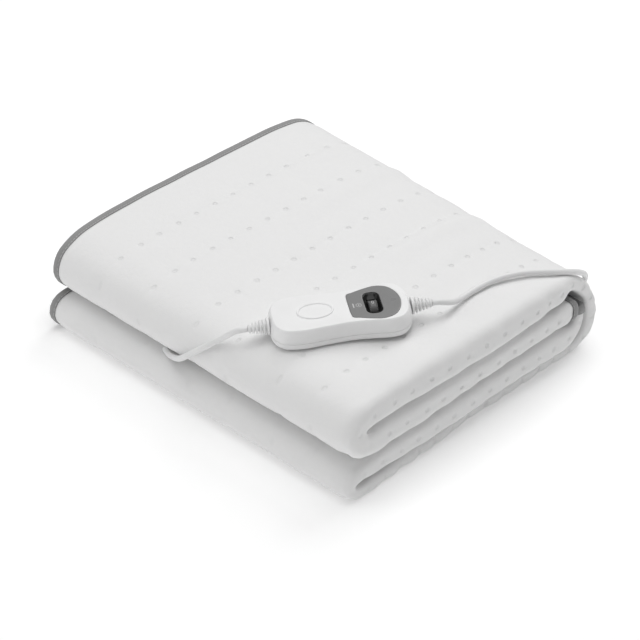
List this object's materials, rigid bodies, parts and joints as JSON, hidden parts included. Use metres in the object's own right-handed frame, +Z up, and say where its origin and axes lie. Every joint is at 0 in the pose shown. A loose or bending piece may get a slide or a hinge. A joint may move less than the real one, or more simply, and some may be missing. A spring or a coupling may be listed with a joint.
{
  "type": "folded electric underblanket with a hand controller",
  "caption": "Quilted white electric underblanket folded into a soft stack, with grey bound edges and a slim hand controller on its lead lying on top.",
  "frame": {"origin": "middle of the footprint of the folded stack, on the surface it lies on", "axes": "+X along the rolls, from the bound edges to the halving fold; +Y from the rolls in front to the wrapped back; +Z up"},
  "size_m": [0.4885, 0.3788, 0.1281],
  "materials": {
    "fleece": "soft white non-woven fleece, point-bonded in rows",
    "binding_tape": "mid-grey folded tape with one line of stitching",
    "housing_plastic": "satin white",
    "face_plastic": "satin dark grey",
    "black_plastic": "black",
    "lead_plastic": "soft white cable sheath",
    "plated_pins": "nickel plated"
  },
  "bodies": {
    "blanket": {"blanket_cloth": "fleece", "binding_outer_edge": "binding_tape", "binding_inner_edge": "binding_tape", "binding_upper_end": "binding_tape", "binding_lower_end": "binding_tape", "housing_lower": "housing_plastic", "housing_upper": "housing_plastic", "face_plate": "face_plastic", "dial_well": "black_plastic", "thumb_rest": "housing_plastic", "relief_blanket_side": "lead_plastic", "relief_mains_side": "lead_plastic", "controller_lead": "lead_plastic", "mains_lead": "lead_plastic", "mains_coil": "lead_plastic", "coil_tie": "lead_plastic", "plug_lead": "lead_plastic", "plug_body": "lead_plastic", "plug_pin_left": "plated_pins", "plug_pin_right": "plated_pins"},
    "dial": {"dial": "black_plastic"}
  },
  "joints": [
    {"name": "dial_turn", "type": "hinge", "parent": "blanket", "child": "dial", "pos_m": [0.11802, -0.06848, 0.1182], "axis": [0.573, 0.8184, 0.0436], "range_deg": [0, 105]}
  ]
}
